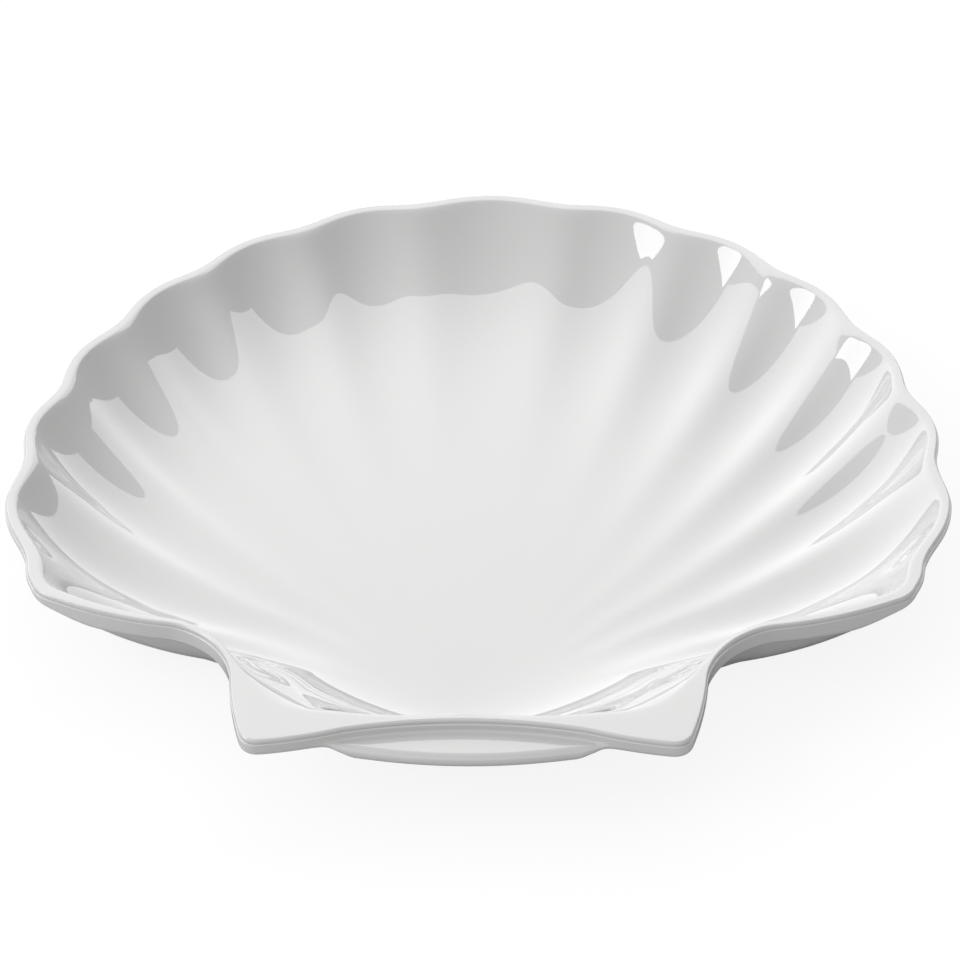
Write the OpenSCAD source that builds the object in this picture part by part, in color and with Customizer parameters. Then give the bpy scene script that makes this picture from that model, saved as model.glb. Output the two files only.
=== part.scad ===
// Serving plate in the shape of a scallop shell, moulded in two bonded layers.
// X runs across the fan, +Y from the ears to the fanned edge, and +Z up from the foot.
// Turns are measured about the middle of the dish, from 0 at the fanned edge to 180 at the ears.

/* [Fan] */
// Width across the scalloped fan
plate_w = 278.7; // [256:0.1:300]
// From the middle of the dish to the back of the fan
fan_l = 152.1; // [130:0.1:175]
// Lobes on each side of the middle lobe, before the end lobe
side_lobes = 6; // [4:1:8]
// Turn taken by the middle lobe
mid_lobe_turn = 18.4; // [14:0.1:20]
// Turn taken by each lobe beside it
side_lobe_turn = 15.3; // [10:0.1:16]
// Turn taken by the last full lobe
last_lobe_turn = 19.1; // [10:0.1:20]
// Swing of the edge in and out at the back, as a share of its radius
scallop_share = 0.008; // [0:0.001:0.012]
// How much more it swings at the sides
side_scallop_share = 0.003; // [0:0.001:0.004]

/* [End lobes and ears] */
// Width across the square corners of the end lobes
end_w = 250.4; // [240:0.2:256]
// From the middle of the dish forward to those corners
end_l = 52.5; // [48:0.1:58]
// Radius that rounds those corners
end_r = 9; // [6:0.5:14]
// Width across the waist where the ears begin
waist_w = 138.4; // [128:0.2:150]
// From the middle of the dish forward to the waist
waist_l = 70.4; // [64:0.1:74]
// Radius of the hollow curve at the waist
waist_r = 27; // [16:0.5:28]
// Width across the ears at the front
ear_w = 122.4; // [116:0.2:128]
// From the middle of the dish forward to the front of the ears
ear_l = 116.2; // [112:0.1:124]
// Radius that rounds the front corners of the ears
ear_r = 5; // [3:0.5:8]
// How far the front lip bends back between the ears
lip_bend = 14.5; // [8:0.1:17]
// Radius of the hollow curve in the middle of the lip
lip_r = 149; // [80:1:180]

/* [Dish] */
// Depth of the dish under the rim
dish_depth = 22; // [16:0.5:32]
// How sharply the floor turns up into the wall at the back
bowl_power = 7.1; // [4:0.1:9]
// How much more sharply it does so at the sides
side_power = 1.5; // [0:0.1:2]
// From the middle of the dish to the front of the ovals that its floor follows
oval_l = 106; // [100:0.5:112]
// From the middle of the dish to where its floor's edge straightens beside the ears
flat_l = 99.5; // [98:0.5:104]
// Width of the rim round the fan
rim_w = 3.2; // [2.4:0.1:5]
// Width across the dish where its edge leaves the waist
mouth_waist_w = 148.4; // [140:0.2:156]
// From the middle of the dish forward to that place
mouth_waist_l = 66.8; // [61:0.1:69]
// Radius of the dish edge at the waist
mouth_waist_r = 30; // [16:0.5:32]
// Width across the front corners of the dish edge
mouth_front_w = 103.2; // [90:0.2:112]
// Width of the flat lip in front of the dish, at its middle
lip_w = 3.8; // [2.5:0.1:6]
// Radius of the front corners of the dish edge
mouth_front_r = 27; // [12:0.5:32]

/* [Ribs] */
// From the middle of the dish forward to the point where the ribs meet
focus_l = 77; // [70:0.5:90]
// Height of the ribs at the sides of the fan
rib_side_h = 1.5; // [0:0.1:2]
// Height of the ribs at the middle of the fan
rib_mid_h = 0.8; // [0:0.1:1.6]
// How far from their meeting point the ribs reach that height
rib_grow_l = 150; // [130:1:170]
// How far from that point the dish stays bare
rib_bare_l = 20; // [10:1:40]

/* [Layers] */
// Thickness of the food-side layer
face_t = 1.4; // [1.2:0.1:1.8]
// Thickness of the backing layer under the dish
back_t = 1.8; // [1.4:0.1:3]
// How far the backing stands out past the food-side layer at the edge
step_w = 0.5; // [0.3:0.05:0.7]
// Radius of the rim's upper edges
rim_edge_r = 0.8; // [0.4:0.1:1.2]
// Height of the edge round the fan
fan_edge_h = 3.4; // [3.2:0.1:4.4]
// Height of the edge where it is highest, between the end lobes and the waist
waist_edge_h = 7.6; // [5.2:0.1:9]
// Height of the edge round the ears
ear_edge_h = 5.8; // [5.2:0.1:7]
// Radius that rounds the ears underneath
ear_low_r = 2; // [1:0.1:2.4]
// Radius that rounds the fan's edge underneath
fan_low_r = 0.8; // [0.4:0.1:0.9]

/* [Thumb ledge] */
// Width of the ledge between its two points
ledge_w = 72; // [60:0.5:80]
// How far the ledge stands out in front of the backing's edge, at its middle
ledge_out = 10.7; // [8:0.1:12]
// Depth of the top of the ledge under the rim
ledge_drop = 4; // [3.6:0.1:4.6]
// Radius of the ledge's round nose
nose_r = 2.2; // [1.6:0.1:2.4]

/* [Foot] */
// Width of the oval foot ring
foot_w = 116; // [90:1:124]
// Length of the oval foot ring
foot_len = 124; // [90:1:130]
// Thickness of the foot ring
foot_t = 4; // [2.5:0.1:6]
// Height of the foot ring below the backing
foot_h = 2.5; // [1.5:0.1:5]
// From the middle of the dish back to the middle of the foot ring
foot_y = 12; // [0:0.5:16]

/* [Hidden] */

// Most turn between two neighbouring places round the edge, and the least on from the last notch
turn_step = 2.85;
least_turn = 1;
// Steps of an arc that rounds a corner
arc_steps = 5;
// Places of the rings in the dish, as shares of the way from the hub to the edge
dish_ring_shares = [0.2, 0.38, 0.52, 0.63, 0.72, 0.79, 0.85, 0.9, 0.94, 0.975, 1];
// Places of the rings on the outside wall, as shares of the way from the foot to the edge
wall_ring_shares = [1, 0.97, 0.92, 0.84, 0.74, 0.62, 0.49, 0.34, 0.17, 0];
// Share of the rim's width at which the joint and the outside wall turn down
joint_turn_share = 0.35;
wall_turn_share = 0.7;

// How fast the dish's contours turn from its edge to ovals on the way in
oval_power = 8;
// How square the front of those ovals is, from the 2 of a plain oval up
oval_square = 2.3;
// Turn that the straight part of the floor's edge faces, and the turns between which it sets in
flat_turn = 141.4;
flat_start_turn = 112;
flat_full_turn = 150;
// Swell and fade of the ribs between the middle of the dish, where they are nothing, and its edge
rib_rise_power = 3;
rib_fall_power = 0.6;
rib_peak_share = rib_rise_power / (rib_rise_power + rib_fall_power);
// Share of the way to their full height at which they are no longer eased
rib_full_share = 0.73;
// How much narrower the ridges are than the channels between them
ridge_sharpness_share = 0.08;
// How far and how fast the ribs bend square to the edge on the way out
rib_bend_share = 0.8;
rib_bend_power = 4.5;
// Turns about the meeting point of the ribs between which they grow from the middle to the sides
rib_mid_turn = 0;
rib_side_turn = 31;
// Turn past the last notch over which the ribs and scallops die away
rib_end_turn = 4.5;
// Turn from the last notch to the next one, which the end lobe no longer has
end_lobe_turn = 18;
// How fast the scallops of the edge die away down the wall
scallop_power = 6;
// Height of the slope at the step under the seam
step_h = 0.2;
// Softness of the ledge's two points
point_soft = 2.8;
// Radius of the hollow where the ledge leaves the band
root_r = 0.9;
// Share of half the ledge's width at which its points have died away
ledge_end_share = 2;
// Share of the room between the edge and the wall that the rounding under the edge may take
low_room_share = 0.9;
// Shares of the way from the end lobe's corner to the waist between which the edge grows to its highest
skirt_start_share = -0.1;
skirt_full_share = 0.28;
// Softness of the bend between the wall and the underside of the edge
skirt_soft = 0.8;

// Ellipse about which the scalloped edge swings
fan_a = plate_w / 2 / (1 + scallop_share + side_scallop_share);
fan_b = fan_l / (1 + scallop_share);
fan_end_turn = 93;
ellipse_step = 2;

// Corners of the outline before rounding, on the right side
end_corner = [end_w / 2, -end_l];
waist_corner = [waist_w / 2, -waist_l];
ear_corner = [ear_w / 2, -ear_l];
lip_corner = [0, lip_bend - ear_l];
// Corners of the dish edge before rounding
mouth_end_corner = end_corner + rim_w * [-1, 1];
mouth_waist_corner = [mouth_waist_w / 2, -mouth_waist_l];
lip_y = lip_corner.y - lip_sag();
mouth_front_corner = [mouth_front_w / 2, lip_y + lip_w];

// Heights, with the rim at the top of the plate
wall_t = face_t + back_t;
plate_h = dish_depth + wall_t + foot_h;
floor_z = plate_h - dish_depth;
joint_z = floor_z - face_t;
base_z = foot_h;
seam_z = plate_h - face_t;
mouth_z = plate_h - rim_edge_r;

// Hub of the grid's spokes, between the middle of the dish and the meeting point of the ribs
hub = [0, -focus_l / 2];

// Shift that puts the middle of the plate's length at the origin
ledge_front = ledge_out + step_w - lip_y;
mid_y = ((fan_b + step_w) * (1 + scallop_share) - ledge_front) / 2;

// Unit vector along v
function unit(v) = v / norm(v);

// Point at radius r and turn t about the middle of the dish
function polar(r, t) = [r * sin(t), r * cos(t)];

// Radius at turn t of an ellipse with half axes a across and b along
function ellipse_r(t, a, b) = 1 / sqrt(pow(sin(t) / a, 2) + pow(cos(t) / b, 2));

// Ease from 0 at a to 1 at b
function ease(x, a, b) = let (u = max(0, min(1, (x - a) / (b - a)))) u * u * (3 - 2 * u);

// List v from its last item to its first
function reversed(v) = [for (i = [len(v) - 1:-1:0]) v[i]];

// Vector v turned by t
function turned(v, t) = [v.x * cos(t) - v.y * sin(t), v.x * sin(t) + v.y * cos(t)];

// Arc of radius r that rounds the corner b between the lines to a and c, as n steps
function rounded(a, b, c, r, n = arc_steps) =
    let (
        u = unit(a - b),
        v = unit(c - b),
        half = acos(u * v) / 2,
        middle = b + unit(u + v) * r / sin(half),
        from = b + u * r / tan(half) - middle,
        to = b + v * r / tan(half) - middle,
        swing = (180 - 2 * half) * sign(cross(from, to))
    )
    [for (i = [0:n]) middle + turned(from, swing * i / n)];

// How far the rounding of the lip's middle corner moves it forward
function lip_sag() =
    let (half = atan2(ear_corner.x, lip_corner.y - ear_corner.y))
    lip_r * (1 / sin(half) - 1);

// Right half of an edge: the ellipse as far as its end, then the rounded corners
function half_edge(a, b, corners) =
    concat([for (t = [0:ellipse_step:fan_end_turn]) polar(ellipse_r(t, a, b), t)], corners);

// Places along an edge as pairs of turn and radius
function turn_table(edge) = [for (p = edge) [atan2(p.x, p.y), norm(p)]];

ear_arcs = concat(
    rounded(polar(ellipse_r(fan_end_turn, fan_a, fan_b), fan_end_turn), end_corner, waist_corner, end_r),
    rounded(end_corner, waist_corner, ear_corner, waist_r),
    rounded(waist_corner, ear_corner, lip_corner, ear_r),
    [for (p = rounded(ear_corner, lip_corner, [-ear_corner.x, ear_corner.y], lip_r, 2 * arc_steps))
        if (p.x > rim_edge_r) p],
    [[0, lip_y]]
);
edge_table = turn_table(half_edge(fan_a, fan_b, ear_arcs));

mouth_a = fan_a - rim_w;
mouth_b = fan_b - rim_w;
mouth_arcs = concat(
    rounded(polar(ellipse_r(fan_end_turn, mouth_a, mouth_b), fan_end_turn), mouth_end_corner,
        mouth_waist_corner, end_r),
    rounded(mouth_end_corner, mouth_waist_corner, mouth_front_corner, mouth_waist_r),
    rounded(mouth_waist_corner, mouth_front_corner, [0, mouth_front_corner.y], mouth_front_r),
    [[0, mouth_front_corner.y]]
);
mouth_table = turn_table(half_edge(mouth_a, mouth_b, mouth_arcs));

// Radius of the plate's smooth edge and of the dish's smooth edge at turn t
function edge_r(t) = lookup(abs(t), edge_table);
function mouth_r(t) = lookup(abs(t), mouth_table);

// Turns of the notches between the lobes
notch_turns = concat(
    [for (k = [0:side_lobes - 1]) mid_lobe_turn / 2 + side_lobe_turn * k],
    [mid_lobe_turn / 2 + side_lobe_turn * (side_lobes - 1) + last_lobe_turn]
);
last_notch = notch_turns[side_lobes];

// Turn of point p about the middle of the dish
function turn_of(p) = atan2(p.x, p.y);

// Turn of p about the point where the ribs meet
function rib_turn(p) = atan2(abs(p.x), p.y + focus_l);
notch_rib_turns = [for (t = notch_turns) rib_turn(polar(ellipse_r(t, fan_a, fan_b), t))];
last_rib_turn = notch_rib_turns[side_lobes];
// Number of lobes from the middle, as pairs of rib turn and number
lobe_table = concat(
    [[0, 0]],
    [for (k = [0:side_lobes]) [notch_rib_turns[k], k + 1 / 2]],
    [[last_rib_turn + end_lobe_turn, side_lobes + 3 / 2]]
);

// The same as pairs of turn about the middle of the dish and number
square_table = concat(
    [[0, 0]],
    [for (k = [0:side_lobes]) [notch_turns[k], k + 1 / 2]],
    [[last_notch + end_lobe_turn, side_lobes + 3 / 2]]
);

// Wave that is 1 along a channel and -1 along a ridge, at point p of the dish
function wave(p) =
    let (
        q = min(1, norm(p) / mouth_r(turn_of(p))),
        fanned = lookup(rib_turn(p), lobe_table),
        square = lookup(abs(turn_of(p)), square_table),
        n = fanned + (square - fanned) * rib_bend_share * pow(q, rib_bend_power)
    )
    cos(360 * n) + ridge_sharpness_share * (1 - cos(720 * n));

// Share of the wave that is left past the last notch
function wave_left(p) = 1 - ease(rib_turn(p), last_rib_turn, last_rib_turn + rib_end_turn);

// How far the scallops move the edge at point p, as a share of its radius
function swing(p) =
    (scallop_share + side_scallop_share * pow(sin(turn_of(p)), 4)) * wave(p) * wave_left(p);

// Point p of a smooth edge moved in or out by the scallops
function scalloped(p) = p * (1 + swing(p));

// Radius at turn t of the oval that the floor's edge follows, straightened beside the ears
function floor_r(t) =
    let (
        square = t < 90 ? 2 : oval_square,
        along = abs(cos(t)) / (t < 90 ? mouth_b : oval_l),
        oval = pow(pow(sin(t) / mouth_a, square) + pow(along, square), -1 / square),
        flat = flat_l / cos(max(t, flat_start_turn) - flat_turn)
    )
    oval + (flat - oval) * ease(t, flat_start_turn, flat_full_turn);

// Share of the way from the middle of the dish to its edge, moved out by grow, at point p:
// it follows the edge near the edge and the floor's oval further in
function dish_share(p, grow) =
    let (
        smooth = norm(p) / (mouth_r(turn_of(p)) + grow),
        q = smooth / (1 + swing(p) * pow(smooth, scallop_power)),
        oval = norm(p) / (floor_r(abs(turn_of(p))) + grow)
    )
    oval + (q - oval) * pow(min(1, q), oval_power);

// Height of the ribs at point p
function rib_z(p) =
    let (
        q = min(1, dish_share(p, 0)),
        away = norm(p + [0, focus_l]),
        swell = pow(q / rib_peak_share, rib_rise_power)
            * pow((1 - q) / (1 - rib_peak_share), rib_fall_power),
        h = rib_mid_h + (rib_side_h - rib_mid_h) * ease(rib_turn(p), rib_mid_turn, rib_side_turn)
    )
    -h * swell * wave(p) * wave_left(p) * away / rib_grow_l
        * ease(away, rib_bare_l, rib_full_share * rib_grow_l);

// Point p of the plan set at height z, in the plate's own frame
function placed(p, z) = [p.x, p.y - mid_y, z];

// Height of a dished surface at point p: low_z in the middle, top_z at the dish edge moved out by grow
function dished_z(p, grow, top_z, low_z) =
    let (power = bowl_power + side_power * pow(sin(turn_of(p)), 2))
    low_z + (top_z - low_z) * pow(dish_share(p, grow), power) + rib_z(p);

// Point of that surface at p
function dished(p, grow, top_z, low_z) = placed(p, dished_z(p, grow, top_z, low_z));

// Point of the dish edge at turn t, moved out by grow
function mouth(t, grow = 0) = scalloped(polar(mouth_r(t) + grow, t));

// Point at height z on the plate's edge at turn t, moved out by grow
function rim(t, grow, z) = placed(scalloped(polar(edge_r(t) + grow, t)), z);

// Angles at which the grid has its spokes, from the back round to the front
function filled(t, step) = [
    for (i = [0:len(t) - 2])
        let (n = max(1, ceil((t[i + 1] - t[i]) / step)))
        for (j = [0:n - 1]) t[i] + (t[i + 1] - t[i]) * j / n,
    t[len(t) - 1]
];
ear_turns = [for (p = ear_arcs) if (turn_of(p) > last_notch + least_turn) turn_of(p)];
right_turns = filled(concat([0], notch_turns, ear_turns), turn_step);
spokes = concat(
    [for (i = [len(right_turns) - 1:-1:1]) -right_turns[i]],
    [for (i = [0:len(right_turns) - 2]) right_turns[i]]
);

// How far the thumb ledge stands out at turn t: a lens between the lip and an arc, with its two points
// softened by a hyperbola that meets the full reach in the middle
ledge_half = ledge_w / 2;
arc_reach = ledge_out - pow(point_soft / 2, 2) / ledge_out;
function ledge_at(t) =
    let (
        across = edge_r(t) * sin(t) / ledge_half,
        arc = arc_reach * (1 - across * across)
    )
    abs(t) < 90 ? 0 : (arc + norm([arc, point_soft])) / 2 * ease(ledge_end_share - abs(across), 0, 1);

// Shares by which the edge at turn t has grown from the fan's to its highest, and gone on to the ears'
function skirt_turn(share) = turn_of(end_corner) + (turn_of(waist_corner) - turn_of(end_corner)) * share;
function skirt_share(t) = ease(abs(t), skirt_turn(skirt_start_share), skirt_turn(skirt_full_share));
function ear_share(t) = ease(abs(t), skirt_turn(skirt_full_share), skirt_turn(1));
// Share by which it belongs to the ledge
ledge_full_share = 0.2;
function ledge_share(t) = ease(ledge_at(t) / ledge_out, 0, ledge_full_share);
// Height of the edge at turn t
function edge_h(t) =
    fan_edge_h + (waist_edge_h - fan_edge_h) * skirt_share(t) + (ear_edge_h - waist_edge_h) * ear_share(t)
    + (ledge_drop + 2 * nose_r - ear_edge_h) * ledge_share(t);
// Radius that rounds the edge underneath at turn t, off the ledge, where the wall leaves room for it
wall_grow = rim_w * wall_turn_share;
function low_edge_r(t) =
    let (room = edge_r(t) - mouth_r(t) - wall_grow + step_w)
    min(fan_low_r + (ear_low_r - fan_low_r) * skirt_share(t), room * low_room_share);

// Point at share u of the way from the hub of the spokes to point p
function along(p, u) = hub + (p - hub) * u;

// Rings of the food side, from the hub out to the rim's outer edge
face_rings = concat(
    [for (u = dish_ring_shares) [for (t = spokes) dished(along(mouth(t), u), 0, mouth_z, floor_z)]],
    [[for (t = spokes) placed(mouth(t, rim_edge_r), plate_h)]],
    [[for (t = spokes) rim(t, -rim_edge_r, plate_h)]],
    [[for (t = spokes) rim(t, 0, mouth_z)]]
);

// Rings of the joint between the layers, from the hub out to the seam
joint_grow = rim_w * joint_turn_share;
joint_rings = concat(
    [for (u = dish_ring_shares) [for (t = spokes) dished(along(mouth(t), u), joint_grow, seam_z, joint_z)]],
    [[for (t = spokes) placed(mouth(t, joint_grow), seam_z)]],
    [[for (t = spokes) rim(t, 0, seam_z)]]
);

// Places down the edge, as pairs of the distance moved out and the depth under the rim, at turn t:
// off the ledge a band that is rounded underneath, on it a flat top and a round nose
band_shares = [0, 0.25, 0.5, 0.75, 1];
nose_turns = [25, 60, 90, 120, 155, 180];
function band_way(t) =
    let (r = low_edge_r(t), top = face_t + step_h, low = edge_h(t) - r)
    concat(
        [for (v = band_shares) [step_w, top + (low - top) * v]],
        [for (a = nose_turns) [step_w - r * (1 - cos(a / 2)), low + r * sin(a / 2)]]
    );
function ledge_way(t) =
    let (
        top = face_t + step_h,
        out = step_w + ledge_at(t),
        r = min(nose_r, step_w + ledge_at(t) / 2),
        root = min(root_r, ledge_at(t) / 3)
    )
    concat(
        [[step_w, top], [step_w, ledge_drop - root], [step_w + root, ledge_drop]],
        [[(step_w + root + out - r) / 2, ledge_drop], [out - r, ledge_drop]],
        [for (a = nose_turns) [out - r * (1 - sin(a)), ledge_drop + r * (1 - cos(a))]]
    );
function edge_way(t) =
    let (share = ledge_share(t), band = band_way(t), ledge = ledge_way(t))
    [for (i = [0:len(band) - 1]) band[i] + (ledge[i] - band[i]) * share];
edge_ways = [for (t = spokes) edge_way(t)];

// Rings of the backing's edge, from under the seam down round the ledge
edge_rings = [
    for (i = [0:len(edge_ways[0]) - 1])
        [for (k = [0:len(spokes) - 1]) rim(spokes[k], edge_ways[k][i][0], plate_h - edge_ways[k][i][1])]
];

// Share of the way from the hub to p at which the foot's oval, less inset, is crossed
function foot_share(p, inset) =
    let (
        axes = [foot_w / 2 - inset, foot_len / 2 - inset],
        h = [hub.x / axes.x, (hub.y - foot_y) / axes.y],
        d = [(p.x - hub.x) / axes.x, (p.y - hub.y) / axes.y]
    )
    (sqrt((h * d) * (h * d) - (d * d) * (h * h - 1)) - h * d) / (d * d);

// Point of the foot on the spoke at turn t, inset from its outside, at height z
function foot(t, inset, z) =
    let (p = mouth(t)) placed(along(p, foot_share(p, inset)), z);

// Point of the outside wall on the spoke at turn t, at share s of the way from the foot to the edge:
// the dish's form one wall lower, cut off level at the underside of the edge with a soft bend
function wall(s, t) =
    let (
        end = mouth(t, wall_grow),
        low = foot_share(end, 0),
        p = along(end, low + (1 - low) * s),
        z = dished_z(p, wall_grow, plate_h - wall_t, base_z),
        level = plate_h - edge_h(t)
    )
    placed(p, (z + level - norm([z - level, skirt_soft])) / 2);

// Rings of the underside, from the edge in to the hub of the foot
under_rings = concat(
    [for (s = wall_ring_shares) [for (t = spokes) wall(s, t)]],
    [[for (t = spokes) foot(t, step_w, 0)]],
    [[for (t = spokes) foot(t, foot_t, 0)]],
    [[for (t = spokes) foot(t, foot_t + step_w, base_z)]]
);

// Closed skin through rings of points, shut by a point at each end; the first rings run outwards
module skin(first, rings, last, outward_rings) {
    n = len(spokes);
    end = len(rings) * n + 1;
    points = concat([first], [for (r = rings) each r], [last]);
    caps = [for (j = [0:n - 1]) let (k = (j + 1) % n) each [
        [0, 1 + j, 1 + k],
        [end, end - n + k, end - n + j]
    ]];
    sides = [for (i = [0:len(rings) - 2]) for (j = [0:n - 1])
        let (
            k = (j + 1) % n,
            a = 1 + i * n + j,
            b = 1 + i * n + k,
            c = a + n,
            d = b + n,
            rising = (i < outward_rings - 1) == (spokes[j] >= 0)
        )
        each rising ? [[a, d, b], [a, c, d]] : [[a, c, b], [b, c, d]]
    ];
    polyhedron(points, concat(caps, sides), convexity = 6);
}

// Point of a dished surface at the hub, low_z being its lowest height
function hub_point(low_z) = dished(hub, 0, plate_h, low_z);

// Food-side layer: dish, rim, lip and ear tops
module face_shell() {
    color("white")
        skin(hub_point(floor_z), concat(face_rings, reversed(joint_rings)), hub_point(joint_z),
            len(face_rings));
}

// Backing layer: outside wall, thumb ledge and foot ring
module backing_shell() {
    color("whitesmoke")
        skin(hub_point(joint_z), concat(joint_rings, edge_rings, under_rings), placed(hub, base_z),
            len(joint_rings));
}

face_shell();
backing_shell();
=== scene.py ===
import math

import bpy
import numpy as np
from mathutils import Matrix


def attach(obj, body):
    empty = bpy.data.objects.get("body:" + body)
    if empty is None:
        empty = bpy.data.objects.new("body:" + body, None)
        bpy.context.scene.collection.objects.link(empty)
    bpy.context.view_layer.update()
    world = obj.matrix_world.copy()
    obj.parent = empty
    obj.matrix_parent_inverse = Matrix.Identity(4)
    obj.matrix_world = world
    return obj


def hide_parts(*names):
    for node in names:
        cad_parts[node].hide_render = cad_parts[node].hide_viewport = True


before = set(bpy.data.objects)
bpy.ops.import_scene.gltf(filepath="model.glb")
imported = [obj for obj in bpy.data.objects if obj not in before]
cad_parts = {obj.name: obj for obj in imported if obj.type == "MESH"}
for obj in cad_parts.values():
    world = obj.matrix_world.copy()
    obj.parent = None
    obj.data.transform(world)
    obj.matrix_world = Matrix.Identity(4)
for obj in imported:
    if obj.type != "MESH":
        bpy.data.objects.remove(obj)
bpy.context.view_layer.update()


# Food-side layer
# The layer the food lies on: the ribbed dish, the narrow rim, the flat lip and the tops of the ears.
# It is white melamine, pressed hot in a polished mould and bonded to the backing in the same press.

# Sizes in millimetres: the depth of the dish, the two layers of its wall and the foot.
mm = 0.001
dish_depth, face_t, back_t, foot_h = 22, 1.4, 1.8, 2.5
wall_t = face_t + back_t
plate_h = dish_depth + wall_t + foot_h

# The fan is an oval whose edge swings in and out in scallops, a little further at the sides. The rim
# round it and the lip in front are the widths left outside the dish.
plate_w, back_l = 278.7, 152.1
scallop, side_scallop, mouth_scallop, scallop_power = 0.008, 0.003, 0.0015, 6
fan_a, fan_b = plate_w / 2 / (1 + scallop + side_scallop), back_l / (1 + scallop)
rim_w, lip_w = 3.2, 3.8

# The turns of the notches between the lobes, and how far in front of the middle the ribs meet.
notch_count, first_notch, notch_step, last_step = 7, 9.2, 15.3, 19.1
notch_turns = first_notch + notch_step * np.arange(notch_count - 1)
notch_turns = np.append(notch_turns, notch_turns[-1] + last_step)
focus = 77

# The outline's corners at the end lobe, the waist and the ear, and the lip that curves in between the ears.
end_x, end_y, end_r = 125.2, -52.5, 9.0
waist_x, waist_y, waist_r = 69.2, -70.4, 27.0
ear_x, ear_y, ear_r = 61.2, -116.2, 5.0
lip_in, lip_r = 14.5, 149.0

# The corners of the dish's own edge at the waist and in front.
mouth_waist_x, mouth_waist_y, mouth_waist_r = 74.2, -66.8, 30.0
mouth_front_x, mouth_front_r = 51.6, 27.0

# The reach of the backing below: its step under the seam and its thumb ledge.
step_w = 0.5
ledge_w, ledge_out, ledge_soft, nose_out = 72.0, 9.4, 2.8, 1.1

# How finely the outline is drawn before it is read off at each spoke.
oval_end, oval_step, turn_step = 93, 0.5, 0.25
arc_count, mean_count = 40, 7
nearly_middle = 1e-6


def oval_radius(turn, a, b):
    """Radius at a turn from +Y of an oval a across and b along: 1 / |(sin turn / a, cos turn / b)|."""
    t = np.radians(turn)
    return 1 / np.hypot(np.sin(t) / a, np.cos(t) / b)


def polar(radius, turn):
    """Plan point at a radius and a turn from +Y: (r sin turn, r cos turn)."""
    t = np.radians(turn)
    return np.stack([radius * np.sin(t), radius * np.cos(t)], -1)


def turn_of(p):
    """Turn of a plan point from +Y, in degrees."""
    return np.degrees(np.arctan2(p[..., 0], p[..., 1]))


def ease(x, a, b):
    """Smooth step from 0 at a to 1 at b: u u (3 - 2 u)."""
    u = np.clip((x - a) / (b - a), 0, 1)
    return u * u * (3 - 2 * u)


def corner_arc(a, b, c, radius):
    """Arc of a radius that rounds the corner b between the lines to a and c."""
    a, b, c = map(np.asarray, (a, b, c))
    u, v = (a - b) / np.linalg.norm(a - b), (c - b) / np.linalg.norm(c - b)
    half = math.acos(u @ v) / 2
    middle = b + (u + v) / np.linalg.norm(u + v) * radius / math.sin(half)
    start, end = b + u * radius / math.tan(half) - middle, b + v * radius / math.tan(half) - middle
    sweep = math.copysign(math.pi - 2 * half, start[0] * end[1] - start[1] * end[0])
    s = np.linspace(0, sweep, arc_count)
    return middle + np.stack([start[0] * np.cos(s) - start[1] * np.sin(s),
                              start[0] * np.sin(s) + start[1] * np.cos(s)], -1)


def radius_by_turn(a, b, corners):
    """Radius of an edge by its turn: the oval as far as the end lobe, then corners rounded by arcs. A short
    running mean softens the joins of the arcs, as a pressed edge is softened."""
    oval_turns = np.arange(0, oval_end + oval_step / 2, oval_step)
    oval = polar(oval_radius(oval_turns, a, b), oval_turns)
    points = [oval]
    chain = [oval[-1]] + [np.array(c[:2]) for c in corners]
    mirrored = chain[-2] * [-1, 1]
    for before, at, after, corner in zip(chain, chain[1:], chain[2:] + [mirrored], corners):
        if corner[2]:
            points.append(corner_arc(before, at, after, corner[2]))
    line = np.concatenate(points)
    line = line[line[:, 0] > -nearly_middle]
    if line[-1, 0] > nearly_middle:
        line = np.vstack([line, [0, line[-1, 1]]])
    turns = np.arange(-180, 180 + turn_step / 2, turn_step)
    found = turn_of(line)
    found[-1] = 180
    radius = np.interp(np.abs(turns), found, np.hypot(line[:, 0], line[:, 1]))
    weights = np.hanning(mean_count + 2)[1:-1]
    weights /= weights.sum()
    half = mean_count // 2
    padded = np.concatenate([radius[-half - 1:-1], radius, radius[1:half + 1]])
    return turns, np.convolve(padded, weights, "valid")


lip_mid_y = ear_y + lip_in
lip_half = math.atan2(ear_x, lip_in)
lip_y = lip_mid_y - lip_r * (1 / math.sin(lip_half) - 1)
mouth_front_y = lip_y + lip_w
edge_turns, edge_radii = radius_by_turn(fan_a, fan_b, [
    (end_x, end_y, end_r), (waist_x, waist_y, waist_r), (ear_x, ear_y, ear_r), (0.0, lip_mid_y, lip_r)])
mouth_turns, mouth_radii = radius_by_turn(fan_a - rim_w, fan_b - rim_w, [
    (end_x - rim_w, end_y + rim_w, end_r), (mouth_waist_x, mouth_waist_y, mouth_waist_r),
    (mouth_front_x, mouth_front_y, mouth_front_r), (0.0, mouth_front_y, 0)])

# The plan is laid out from the fan's own middle, and the plate's length is centred on its origin.
ledge_reach = (ledge_out + math.hypot(ledge_out, ledge_soft)) / 2 + nose_out
mid_y = ((fan_b + step_w) * (1 + scallop) - (ledge_reach + step_w - lip_y)) / 2


def edge_r(turn):
    """Radius of the plate's smooth edge at a turn."""
    return np.interp(turn, edge_turns, edge_radii)


def mouth_r(turn):
    """Radius of the dish's smooth edge at a turn."""
    return np.interp(turn, mouth_turns, mouth_radii)


def rib_turn(p):
    """Turn of a plan point about the place where the ribs meet, in degrees and never negative."""
    return np.degrees(np.arctan2(np.abs(p[..., 0]), p[..., 1] + focus))


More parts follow.
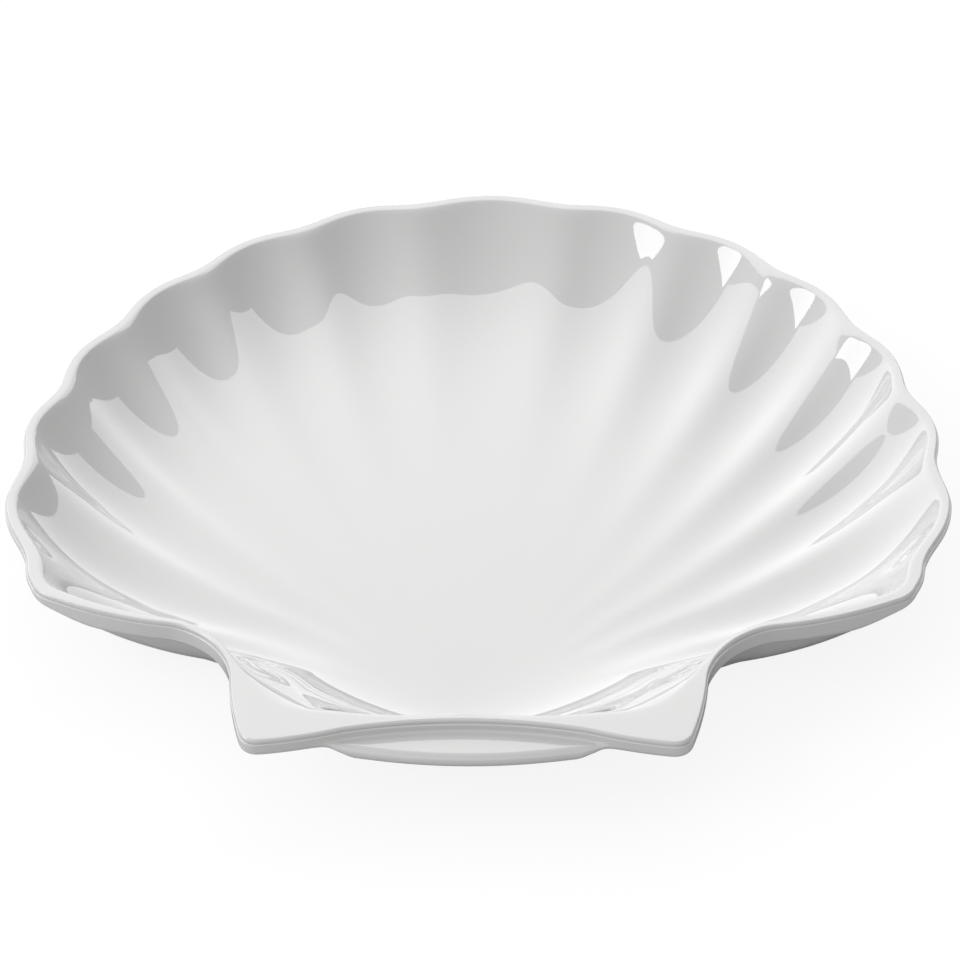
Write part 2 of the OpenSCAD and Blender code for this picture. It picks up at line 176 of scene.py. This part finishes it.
# How many lobes lie between the middle and each turn, by turns about the place where the ribs meet and
# by turns about the middle, and how the ribs bend from the first to the second towards the edge.
notch_rib_turns = rib_turn(polar(oval_radius(notch_turns, fan_a, fan_b), notch_turns))
rib_end, end_lobe, ridge_sharpness = 4.5, 18, 0.08
lobe_turns = np.concatenate([[0], notch_rib_turns, [notch_rib_turns[-1] + end_lobe]])
straight_turns = np.concatenate([[0], notch_turns, [notch_turns[-1] + end_lobe]])
lobe_numbers = np.concatenate([[0], np.arange(notch_count) + 0.5, [notch_count + 0.5]])
rib_bend, rib_bend_power = 0.79, 4.5


def wave(p):
    """Wave across the ribs, 1 along a channel and -1 along a ridge, dying away past the last notch:
    cos(2 pi n) + sharpness (1 - cos(4 pi n)), n being the number of lobes from the middle, counted
    about the place where the ribs meet and, towards the edge, bent square to the edge."""
    turn = np.abs(turn_of(p))
    fanned = np.interp(rib_turn(p), lobe_turns, lobe_numbers)
    square = np.interp(turn, straight_turns, lobe_numbers)
    q = np.minimum(np.hypot(p[..., 0], p[..., 1]) / mouth_r(turn), 1)
    n = (fanned + (square - fanned) * rib_bend * q ** rib_bend_power) * 2 * np.pi
    left = 1 - ease(rib_turn(p), notch_rib_turns[-1], notch_rib_turns[-1] + rib_end)
    return (np.cos(n) + ridge_sharpness * (1 - np.cos(2 * n))) * left


def swing(p, more=0.0):
    """How far the scallops move a plan point, as a share of its radius:
    (scallop + side sin^4 turn + more) wave."""
    across = p[..., 0] ** 2 / (p ** 2).sum(-1)
    return (scallop + side_scallop * across ** 2 + more) * wave(p)


def scalloped(p, more=0.0):
    """Plan points of a smooth edge moved in and out by the scallops."""
    return p * (1 + swing(p, more))[..., None]


def rim(turn, grow):
    """Plan point of the plate's edge at a turn, moved out by grow."""
    return scalloped(polar(edge_r(turn) + grow, turn))


def mouth(turn, grow=0.0):
    """Plan point of the dish's edge at a turn, moved out by grow."""
    return scalloped(polar(mouth_r(turn) + grow, turn), mouth_scallop)


# The bowl that both layers follow: a flat floor that turns up into the wall, with ribs that fan out
# from the front. Its floor ends on an oval that straightens beside the ears.
oval_front_l, oval_power, oval_square = 106.0, 8.0, 2.3
flat_l, flat_turn, flat_start, flat_full, flat_soft = 99.5, 141.4, 112, 150, 6
swing_end = 1.1
bowl_power, bowl_side_power = 7.1, 1.5
rib_side_h, rib_mid_h, rib_side_turn = 1.5, 0.82, 31
rib_rise, rib_fall, rib_grow_l = 3.0, 0.6, 150
rib_bare_l, rib_full_l = 20, 110


def floor_r(turn):
    """Radius at a turn of the oval that the floor's edge follows, squarer at the front:
    (|sin turn / a|^square + |cos turn / b|^square)^(-1/square). Beside the ears it straightens to
    l / cos(turn - its own), and the two straight parts meet in a soft bend at the very front:
    180 - sqrt((180 - turn)^2 + soft^2)."""
    t = np.radians(turn)
    square = np.where(turn < 90, 2, oval_square)
    along = np.abs(np.cos(t)) / np.where(turn < 90, fan_b - rim_w, oval_front_l)
    oval = ((np.sin(t) / (fan_a - rim_w)) ** square + along ** square) ** (-1 / square)
    bent = 180 - np.hypot(180 - turn, flat_soft)
    flat = flat_l / np.cos(np.radians(np.maximum(bent, flat_start) - flat_turn))
    return oval + (flat - oval) * ease(turn, flat_start, flat_full)


def dish_share(p, grow):
    """Share q of the way from the dish's middle to its edge moved out by grow. At the edge it follows
    the scalloped mouth, and further in it turns to the floor's oval:
    q = oval + (mouth share - oval) (mouth share)^power."""
    away = np.hypot(p[..., 0], p[..., 1])
    q = away / (mouth_r(turn_of(p)) + grow)
    q = q / (1 + swing(p, mouth_scallop) * np.minimum(q, swing_end) ** scallop_power)
    oval = away / (floor_r(np.abs(turn_of(p))) + grow)
    return oval + (q - oval) * np.minimum(q, 1) ** oval_power


def rib_height(p):
    """Height of the ribs: -h swell wave (distance from where they meet) / grow_l, swell being
    q^rise (1 - q)^fall scaled to peak at 1. Near the place where they meet they are eased away."""
    q = np.clip(dish_share(p, 0), 0, 1)
    peak = rib_rise / (rib_rise + rib_fall)
    swell = (q / peak) ** rib_rise * ((1 - q) / (1 - peak)) ** rib_fall
    h = rib_mid_h + (rib_side_h - rib_mid_h) * ease(rib_turn(p), 0, rib_side_turn)
    away = np.hypot(p[..., 0], p[..., 1] + focus)
    return -h * swell * wave(p) * away / rib_grow_l * ease(away, rib_bare_l, rib_full_l)


def dished(p, grow):
    """Height of the bowl under its own edge: -depth (1 - q^power) plus the ribs."""
    turn = np.arctan2(p[..., 0], p[..., 1])
    power = bowl_power + bowl_side_power * np.sin(turn) ** 2
    return -dish_depth * (1 - dish_share(p, grow) ** power) + rib_height(p)


def levelled(h, soft):
    """Height h cut off level at 0 with a soft shoulder: (h - sqrt(h h + soft soft)) / 2."""
    return (h - np.sqrt(h * h + soft * soft)) / 2


def placed(p, z):
    """Plan points and heights as points of the plate's own frame, in metres."""
    return np.stack([p[..., 0], p[..., 1] - mid_y, z + plate_h + 0 * p[..., 0]], -1) * mm


def skin(name, first, rings, last):
    """Closed mesh through rings of points, one row after another, shut by a point at each end. The first
    rings lead outwards over the top, with turns that grow clockwise, so its faces point outwards."""
    count = rings.shape[1]
    points = np.concatenate([first[None], rings.reshape(-1, 3), last[None]])
    row, col = np.mgrid[0:len(rings) - 1, 0:count]
    a, b = 1 + row * count + col, 1 + row * count + (col + 1) % count
    quads = np.stack([a, b, b + count, a + count], -1).reshape(-1, 4)
    j = np.arange(count)
    k, end = (j + 1) % count, len(points) - 1
    top = np.stack([0 * j, 1 + k, 1 + j], -1)
    low = np.stack([0 * j + end, end - count + j, end - count + k], -1)
    mesh = bpy.data.meshes.new(name)
    mesh.from_pydata(points.tolist(), [], quads.tolist() + top.tolist() + low.tolist())
    mesh.polygons.foreach_set("use_smooth", np.ones(len(mesh.polygons), bool))
    mesh.update()
    piece = bpy.data.objects.new(name, mesh)
    bpy.context.scene.collection.objects.link(piece)
    return piece


# Each ring of points has one on every spoke from the hub, and rings lie closer together where a
# surface bends more.
spoke_step = 0.5
spokes = np.arange(-180, 180, spoke_step)
hub = np.array([0, -focus / 2])
inward_crowding, outward_crowding = 1.35, 1.2
dish_count, rim_count = 86, 12


def crowded(start, count):
    """Shares from start to 1 that lie closer together towards 1: 1 - (1 - u)^crowding."""
    return 1 - (1 - np.linspace(start, 1, count)) ** inward_crowding


def loosened(count):
    """Shares over 0 and up to 1 that lie closer together towards 0: u^crowding."""
    return np.linspace(0, 1, count)[1:] ** outward_crowding


# The level rim, its rounded edge, and the short side down to the seam, as (out, above the seam).
rim_soft, rim_edge_r, seam_in = 1.0, 0.8, 0.08
round_start, round_count = 15, 6
seam_side = [(0, 0.4), (0, 0.12), (-0.03, 0.03), (-seam_in, 0)]


def food_side(u):
    """Surface over the share u of the way from the hub to the mouth (0 to 1), then on to the rim
    (1 to 2): the bowl cut off level at the rim's height with a soft shoulder."""
    inner = hub + (mouth(spokes) - hub) * np.minimum(u, 1)[:, None, None]
    out = np.clip(u - 1, 0, 1)[:, None, None]
    p = inner + (rim(spokes, -rim_edge_r) - inner) * out
    return placed(p, levelled(dished(p, 0), rim_soft))


# The joint is the face's underside and the backing's top: the bowl again, a little wider and lower.
joint_rim_share, joint_drop, joint_soft = 0.35, 0.15, 1.0
joint_grow = rim_w * joint_rim_share
joint_start, joint_count = 0.06, 28


def joint(u):
    """The joint over the share u of the way from the hub to the mouth, on the bowl's own shape."""
    p = hub + (mouth(spokes) - hub) * u[:, None, None]
    return placed(p, levelled(dished(p, joint_grow) - joint_drop, joint_soft) - face_t)


top_rings = food_side(np.concatenate([crowded(0, dish_count)[1:], 1 + loosened(rim_count)]))
rim_round = np.stack([
    placed(rim(spokes, -rim_edge_r * (1 - math.sin(a))), -rim_edge_r * (1 - math.cos(a)))
    for a in np.radians(np.linspace(round_start, 90, round_count))])
seam_rings = np.stack([placed(rim(spokes, out), above - face_t) for out, above in seam_side])
joint_rings = joint(crowded(joint_start, joint_count))
hub_top = placed(hub, levelled(dished(hub, 0), rim_soft))
hub_joint = placed(hub, dished(hub, joint_grow) - face_t)
face = skin("food_side_layer", hub_top,
            np.concatenate([top_rings, rim_round, seam_rings, joint_rings[::-1]]), hub_joint)


class Socket:
    """A shader socket whose + - * build Math nodes, so that shader maths reads as an expression."""

    def __init__(self, tree, out):
        self.tree, self.out = tree, out

    def make(self, kind, settings=(), **inputs):
        """Adds a node of a kind, with its settings set first, then its inputs linked or filled. An input
        is named, with _ for a space, or is i and its number."""
        node = self.tree.nodes.new(kind)
        for key, value in dict(settings).items():
            setattr(node, key, value)
        for key, value in inputs.items():
            numbered = key[0] == "i" and key[1:].isdigit()
            port = node.inputs[int(key[1:]) if numbered else key.replace("_", " ")]
            if isinstance(value, Socket):
                self.tree.links.new(value.out, port)
            else:
                port.default_value = value
        return node

    def math(self, operation, *values):
        """One Math node on this socket's value and others."""
        node = self.make("ShaderNodeMath", {"operation": operation},
                         **{f"i{i}": v for i, v in enumerate((self,) + values)})
        return Socket(self.tree, node.outputs[0])

    def __add__(self, other):
        return self.math("ADD", other)

    def __sub__(self, other):
        return self.math("SUBTRACT", other)

    def __mul__(self, other):
        return self.math("MULTIPLY", other)

    __radd__, __rmul__ = __add__, __mul__

    def __rsub__(self, other):
        return self * -1 + other


def start_material(name):
    """A new node material with only its output, and a socket of its Object coordinates."""
    material = bpy.data.materials.new(name)
    material.use_nodes = True
    tree = material.node_tree
    tree.nodes.clear()
    output = tree.nodes.new("ShaderNodeOutputMaterial")
    place = tree.nodes.new("ShaderNodeTexCoord")
    return material, tree, output, Socket(tree, place.outputs["Object"])


def noise(place, scale, detail):
    """Noise on the object's own coordinates, as a value about one half."""
    node = place.make("ShaderNodeTexNoise", Vector=place, Scale=scale, Detail=detail)
    return Socket(place.tree, node.outputs["Fac"])


# A Mix node in colour mode has its two colours and its result at these places among its sockets.
mix_first, mix_second, mix_result = 6, 7, 2
scuff_range, wavy_strength, wavy_h = 0.02, 0.012, 0.001
gloss_ior, gloss_coat, coat_rough = 1.55, 0.7, 0.01


def melamine(name, white, shade, roughness):
    """Glossy pressed melamine: a clean white with a breath of cloudiness, faint scuffs in the gloss
    and the very slight waviness that a polished mould leaves."""
    material, tree, output, place = start_material(name)
    cloud = noise(place, scale=22.0, detail=2.0)
    scuff = noise(place, scale=260.0, detail=4.0)
    wavy = noise(place, scale=95.0, detail=1.0)
    tint = place.make("ShaderNodeMix", {"data_type": "RGBA"}, Factor=cloud)
    tint.inputs[mix_first].default_value = white + (1,)
    tint.inputs[mix_second].default_value = shade + (1,)
    bump = place.make("ShaderNodeBump", Height=wavy, Strength=wavy_strength, Distance=wavy_h)
    scuffed = scuff * scuff_range + (roughness - scuff_range / 2)
    shader = place.make("ShaderNodeBsdfPrincipled", Roughness=scuffed, IOR=gloss_ior,
                        Coat_Weight=gloss_coat, Coat_Roughness=coat_rough)
    tree.links.new(tint.outputs[mix_result], shader.inputs["Base Color"])
    tree.links.new(bump.outputs[0], shader.inputs["Normal"])
    tree.links.new(shader.outputs[0], output.inputs["Surface"])
    return material


face_white, face_shade, face_rough = (0.5, 0.5, 0.497), (0.493, 0.493, 0.491), 0.02
face.data.materials.append(melamine("face_melamine", face_white, face_shade, face_rough))
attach(face, "root")
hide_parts("face_shell")


# Backing layer
# The outside of the plate, pressed onto the food side: a stepped edge that stands out a little under
# the seam, the thumb ledge, the ribbed outside wall and the ring that the plate stands on.

# The ledge stands out in a parabola across the front, softened where it dies away into the edge.
ledge_drop, nose_r, ledge_across, ledge_behind = 4.0, 2.2, 2.2, 90
nose_from, nose_to = 0.04, 0.35
ledge_from, ledge_to = 0.02, 0.2
across = np.abs(edge_r(spokes) * np.sin(np.radians(spokes))) / (ledge_w / 2)
across = np.minimum(across, ledge_across)
ledge = ledge_out * (1 - across ** 2)
ledge = (ledge + np.sqrt(ledge ** 2 + ledge_soft ** 2)) / 2 * ease(ledge_across - across, 0, 1)
ledge = np.where(np.abs(spokes) > ledge_behind, ledge, 0)
nose_share = ease(ledge / ledge_out, nose_from, nose_to)
ledge_share = ease(ledge / ledge_out, ledge_from, ledge_to)

# The edge is thin round the fan, deepens past the end lobe's corner and is shallower again at the ears.
fan_edge_h, waist_edge_h, ear_edge_h = 3.4, 7.6, 5.8
skirt_from, skirt_to = -0.1, 0.28
end_turn = math.degrees(math.atan2(end_x, end_y))
waist_turn = math.degrees(math.atan2(waist_x, waist_y))
skirt_start = end_turn + (waist_turn - end_turn) * skirt_from
skirt_full = end_turn + (waist_turn - end_turn) * skirt_to
skirt_share = ease(np.abs(spokes), skirt_start, skirt_full)
ear_share = ease(np.abs(spokes), skirt_full, waist_turn)
edge_h = (fan_edge_h + (waist_edge_h - fan_edge_h) * skirt_share
          + (ear_edge_h - waist_edge_h) * ear_share
          + (ledge_drop + 2 * nose_r - ear_edge_h) * nose_share)

# The outside wall is the bowl again, wider by the wall, and the edge is rounded below as far as the
# width between the two leaves room.
wall_rim_share, wall_soft = 0.7, 0.8
wall_grow = rim_w * wall_rim_share
fan_low_r, skirt_low_r, low_room_share = 0.8, 1.2, 0.9
low_room = edge_r(spokes) - mouth_r(spokes) - wall_grow + step_w
low_r = np.minimum(fan_low_r + skirt_low_r * skirt_share, low_room * low_room_share)


def rounding(start, end, count):
    """Sines and cosines of the angles from start to end, as pairs for rounding an edge."""
    a = np.radians(np.linspace(start, end, count))
    return list(zip(np.sin(a), np.cos(a)))


# The step under the seam, the hollow root of the ledge, and the ledge's flat top and round nose, with
# the shares of the way at which rings lie on the band above the root and on the flat.
under_seam, step_start_share, step_drop, step_r = 0.01, 0.1, 0.03, 0.4
root_r, root_least, root_share = 0.9, 0.1, 0.3
nose_least, nose_grow, nose_count = 0.4, 0.5, 12
flat_least, flat_fall = 0.05, 0.05
root_ways, flat_ways = (0.3, 0.7), (0.3, 0.6, 0.85, 1)


def edge_profile():
    """Rings down the backing's edge, each worked out as (moved out, below the rim): the narrow step under
    the seam, then the hollow root of the ledge, its flat top and its round nose. Off the ledge the rings
    lie straight down the band and round under it, and the two ways blend by the ledge's share."""
    upper = [(step_w * step_start_share, face_t + under_seam)]
    upper += [(step_w - step_r * (1 - s), face_t + step_drop + step_r * (1 - c))
              for s, c in rounding(0, 90, round_count)]
    band_top = face_t + step_drop + step_r
    root = np.minimum(root_r, root_least + root_share * ledge)
    nose = np.minimum(nose_r, nose_least + nose_grow * ledge)
    outer = step_w + ledge + nose_out * nose_share
    flat = step_w + root
    flat_w = np.maximum(outer - nose - flat, flat_least)
    ledge_way = [(step_w, band_top + (ledge_drop - root - band_top) * v) for v in root_ways]
    ledge_way += [(step_w + root * (1 - c), ledge_drop - root * (1 - s))
                  for s, c in rounding(0, 90, round_count)]
    ledge_way += [(flat + flat_w * v, ledge_drop + flat_fall * v) for v in flat_ways]
    ledge_way += [(outer - nose + nose * s, ledge_drop + flat_fall + nose * (1 - c))
                  for s, c in rounding(round_start, 180, nose_count)]
    straight = np.linspace(0, 1, len(ledge_way) - round_count + 1)[1:]
    band_way = [(step_w, band_top + (edge_h - low_r - band_top) * v) for v in straight]
    band_way += [(step_w - low_r * (1 - c), edge_h - low_r * (1 - s))
                 for s, c in rounding(round_start, 90, round_count)]
    rings, grow = [placed(rim(spokes, g), -d) for g, d in upper], 0
    for (g1, d1), (g2, d2) in zip(band_way, ledge_way):
        grow, drop = g1 + (g2 - g1) * ledge_share, d1 + (d2 - d1) * ledge_share
        rings.append(placed(rim(spokes, grow), -drop))
    return np.stack(rings), grow


edge_rings, edge_grow = edge_profile()

# The foot is an oval ring with rounded edges, and a fillet inside it, as (further in, below the base),
# leads to the flat base, which needs only one more ring.
foot_a, foot_b, foot_y, foot_t = 58.0, 62.0, 12.0, 4.0
foot_r, foot_start, foot_draft, foot_round_start = 0.6, 0.02, 0.1, 18
foot_fillet = [(0.3, 0.5), (0.6, 0.1), (1.2, 0)]
foot_ways, base_share = (0.3, 0.6, 1), 0.4
foot_out_count, foot_in_count = 4, 5
band_count, wall_count = 8, 56


def foot_cross(p, inset):
    """Share of the way from the hub to p at which the ring's oval, less inset, is crossed: the greater
    root of |h + t d| = 1, h being the hub and d the way to p, both in the oval's own axes."""
    axes = np.array([foot_a - inset, foot_b - inset])
    h, d = (hub - [0, foot_y]) / axes, (p - hub) / axes
    hd, dd = (h * d).sum(-1), (d * d).sum(-1)
    return (np.sqrt(hd ** 2 - dd * ((h * h).sum() - 1)) - hd) / dd


def outside(v):
    """Outside wall over v, from the edge (0) in to the line under the mouth (1) and on to the foot ring
    (2): the bowl's shape one wall lower, cut off level at the underside of the edge with a soft bend."""
    line = mouth(spokes, wall_grow)
    low = foot_cross(mouth(spokes), 0)
    start = rim(spokes, edge_grow)
    inward = start + (line - start) * np.minimum(v, 1)[:, None, None]
    share = 1 - (1 - low) * np.clip(v - 1, 0, 1)[:, None]
    p = np.where((v <= 1)[:, None, None], inward, hub + (line - hub) * share[..., None])
    return placed(p, levelled(dished(p, wall_grow) - wall_t + edge_h, wall_soft) - edge_h)


def ring_under(inset, z, share=1.0):
    """Ring of points under the plate at a height z, along the foot's oval inset from its outside, or at
    a share of the way from the hub to it."""
    p = mouth(spokes)
    at = foot_cross(p, inset)[:, None]
    return placed(hub + (p - hub) * at * share, z - plate_h)


wall_rings = outside(np.concatenate([np.linspace(0, 1, band_count)[1:], 1 + loosened(wall_count)]))
foot_top = wall_rings[-1, :, 2] / mm
foot_rings = np.stack(
    [ring_under(foot_start + foot_draft * v, foot_top + (foot_r - foot_top) * v) for v in foot_ways]
    + [ring_under(foot_start + foot_draft + foot_r * (1 - c), foot_r * (1 - s))
       for s, c in rounding(foot_round_start, 90, foot_out_count)]
    + [ring_under(foot_t - foot_draft - foot_r * (1 - s), foot_r * (1 - c))
       for s, c in rounding(0, 90, foot_in_count)]
    + [ring_under(foot_t + inset, foot_h - below) for inset, below in foot_fillet]
    + [ring_under(foot_t + foot_fillet[-1][0], foot_h, base_share)])
base_hub = placed(hub, foot_h - plate_h)
backing = skin("backing_layer", hub_joint,
               np.concatenate([joint_rings, seam_rings[-1:], edge_rings, wall_rings, foot_rings]), base_hub)

backing_white, backing_shade, backing_rough = (0.5, 0.5, 0.497), (0.489, 0.489, 0.486), 0.03
backing.data.materials.append(melamine("backing_melamine", backing_white, backing_shade, backing_rough))
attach(backing, "root")
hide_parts("backing_shell")


# Studio
# A plain pale floor, a large soft panel behind the plate, a bright window at the left, a low fill in
# front and a dim room, a little brighter at the left and in front. The camera has the photograph's angle.

# The floor, in metres. To the camera it is mostly glowing paper, which stays white, and the share of
# plain paper in it keeps the plate's shadow.
floor_half, floor_glow, glow_share = 4, 1.12, 0.78
white, grey = (1, 1, 1, 1), (0.5, 0.5, 0.5, 1)
floor_corners = [(-floor_half, -floor_half, 0), (floor_half, -floor_half, 0),
                 (floor_half, floor_half, 0), (-floor_half, floor_half, 0)]
floor_mesh = bpy.data.meshes.new("floor")
floor_mesh.from_pydata(floor_corners, [], [(0, 1, 2, 3)])
floor = bpy.data.objects.new("floor", floor_mesh)
bpy.context.scene.collection.objects.link(floor)
material, tree, output, place = start_material("floor_paper")
paper = place.make("ShaderNodeBsdfDiffuse", Color=grey)
glow = place.make("ShaderNodeEmission", Color=white, Strength=floor_glow)
ray = tree.nodes.new("ShaderNodeLightPath")
seen = Socket(tree, ray.outputs["Is Camera Ray"]) * glow_share
blend = tree.nodes.new("ShaderNodeMixShader")
tree.links.new(seen.out, blend.inputs[0])
tree.links.new(paper.outputs[0], blend.inputs[1])
tree.links.new(glow.outputs[0], blend.inputs[2])
tree.links.new(blend.outputs[0], output.inputs["Surface"])
floor.data.materials.append(material)

panel_aim = [0, 0, 0.03]


def panel(name, azimuth, elevation, distance, width, height, radiance):
    """A soft panel that faces the plate from an azimuth (0 is behind) and an elevation: its power is
    pi x area x radiance."""
    a, e = math.radians(azimuth), math.radians(elevation)
    away = np.array([math.sin(a) * math.cos(e), math.cos(a) * math.cos(e), math.sin(e)])
    right = np.array([math.cos(a), -math.sin(a), 0])
    lamp = bpy.data.lights.new(name, "AREA")
    lamp.shape, lamp.size, lamp.size_y = "RECTANGLE", width, height
    lamp.energy = math.pi * width * height * radiance
    holder = bpy.data.objects.new(name, lamp)
    bpy.context.scene.collection.objects.link(holder)
    axes = np.stack([-right, np.cross(away, -right), away], -1)
    pose = Matrix(axes.tolist()).to_4x4()
    pose.translation = (away * distance + panel_aim).tolist()
    holder.matrix_world = pose


panel("back_panel", azimuth=-10, elevation=36, distance=2.0, width=4.8, height=2.35, radiance=1.55)
panel("left_window", azimuth=-102, elevation=34, distance=2.0, width=1.15, height=0.95, radiance=4.6)
panel("front_fill", azimuth=180, elevation=28, distance=2.2, width=3.2, height=1.5, radiance=0.55)

# The room is white to the camera. The room that the plate mirrors is dimmer, and least so at the left
# and in front.
room_light, left_share, front_share = 0.645, 0.28, 0.17
world = bpy.data.worlds.new("room")
bpy.context.scene.world = world
world.use_nodes = True
tree = world.node_tree
tree.nodes.clear()
output = tree.nodes.new("ShaderNodeOutputWorld")
backdrop = tree.nodes.new("ShaderNodeBackground")
ray = tree.nodes.new("ShaderNodeLightPath")
heading = Socket(tree, tree.nodes.new("ShaderNodeTexCoord").outputs["Generated"])
parts = heading.make("ShaderNodeSeparateXYZ", Vector=heading).outputs
rightward, backward = Socket(tree, parts[0]), Socket(tree, parts[1])
seen = Socket(tree, ray.outputs["Is Camera Ray"])
room = (1 - rightward * left_share - backward * front_share) * room_light
tree.links.new((room + (1 - room) * seen).out, backdrop.inputs["Strength"])
tree.links.new(backdrop.outputs[0], output.inputs["Surface"])
backdrop.inputs["Color"].default_value = white

# The camera looks down at the middle of the rim, from a little to the right and with a slight roll.
aim_x, aim_y, camera_away = 0.215, 0.521, 1.12
yaw, rise, roll = math.radians(2.48), math.radians(38), math.radians(-1.36)
lens, sensor_w, shift_x, clip_end = 141.9, 36, 0.0021, 50
aim = np.array([aim_x, aim_y - mid_y, plate_h]) * mm
back = np.array([math.sin(yaw) * math.cos(rise), -math.cos(yaw) * math.cos(rise), math.sin(rise)])
side = np.cross(-back, [0, 0, 1])
side /= np.linalg.norm(side)
up = np.cross(side, -back)
side, up = math.cos(roll) * side + math.sin(roll) * up, -math.sin(roll) * side + math.cos(roll) * up
camera = bpy.data.objects.new("camera", bpy.data.cameras.new("camera"))
bpy.context.scene.collection.objects.link(camera)
pose = Matrix(np.stack([side, up, back], -1).tolist()).to_4x4()
pose.translation = (aim + back * camera_away).tolist()
camera.matrix_world = pose
camera.data.lens, camera.data.sensor_width, camera.data.shift_x = lens, sensor_w, shift_x
camera.data.clip_end = clip_end
bpy.context.scene.camera = camera
bpy.context.scene.view_settings.view_transform = "Standard"
